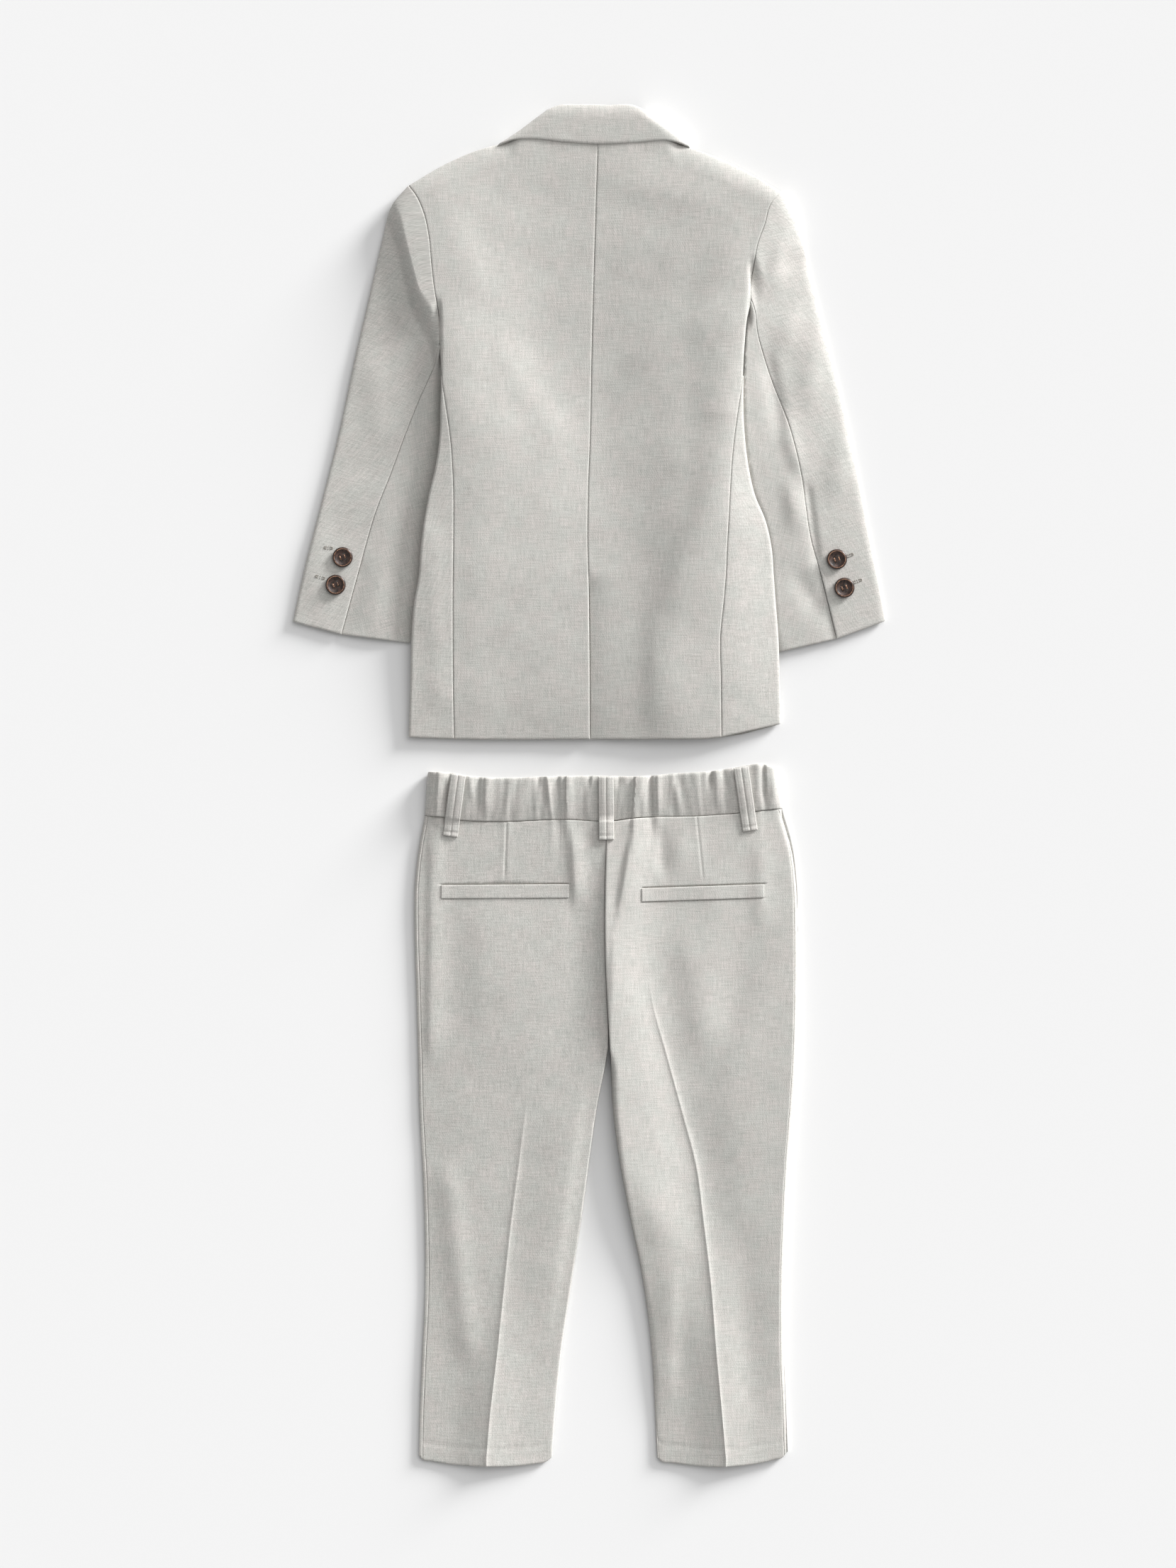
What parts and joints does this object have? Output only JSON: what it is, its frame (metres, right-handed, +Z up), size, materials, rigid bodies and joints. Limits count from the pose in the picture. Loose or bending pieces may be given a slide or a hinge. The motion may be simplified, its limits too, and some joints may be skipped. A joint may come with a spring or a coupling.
{
  "type": "two-piece suit with bow tie",
  "caption": "Small child's jacket and trousers laid flat with the back up: vented jacket with lapels, trousers with a gathered back waistband and welt pockets, and a bow tie under the jacket.",
  "frame": {"origin": "centre of the laid-out suit's outline, on the surface that it lies on", "axes": "+Y from the trouser hems to the jacket's collar, +X to the right seen from above, +Z up from the surface"},
  "size_m": [0.4084, 0.9401, 0.0181],
  "materials": {
    "suiting": "fine twill melange, light stone grey",
    "satin": "satin weave",
    "button": "dark brown with a worn copper rim"
  },
  "bodies": {
    "root": {"jacket_back_left": "suiting", "jacket_back_right": "suiting", "jacket_side_left": "suiting", "jacket_side_right": "suiting", "jacket_front_left": "suiting", "jacket_front_right": "suiting", "sleeve_top_left": "suiting", "sleeve_top_right": "suiting", "sleeve_under_left": "suiting", "sleeve_under_right": "suiting", "lapel_left": "suiting", "lapel_right": "suiting", "collar": "suiting", "collar_stand": "suiting", "vent_underlap": "suiting", "sleeve_button_left_1": "button", "sleeve_button_left_2": "button", "sleeve_button_right_1": "button", "sleeve_button_right_2": "button", "front_button_1": "button", "front_button_2": "button", "leg_back_left": "suiting", "leg_back_right": "suiting", "leg_front_left": "suiting", "leg_front_right": "suiting", "waistband_back": "suiting", "waistband_front": "suiting", "belt_loop_1": "suiting", "belt_loop_2": "suiting", "belt_loop_3": "suiting", "welt_left": "suiting", "welt_right": "suiting", "fly": "suiting", "bow_wing_left": "satin", "bow_wing_right": "satin", "bow_knot": "satin", "bow_band": "satin"}
  },
  "joints": []
}
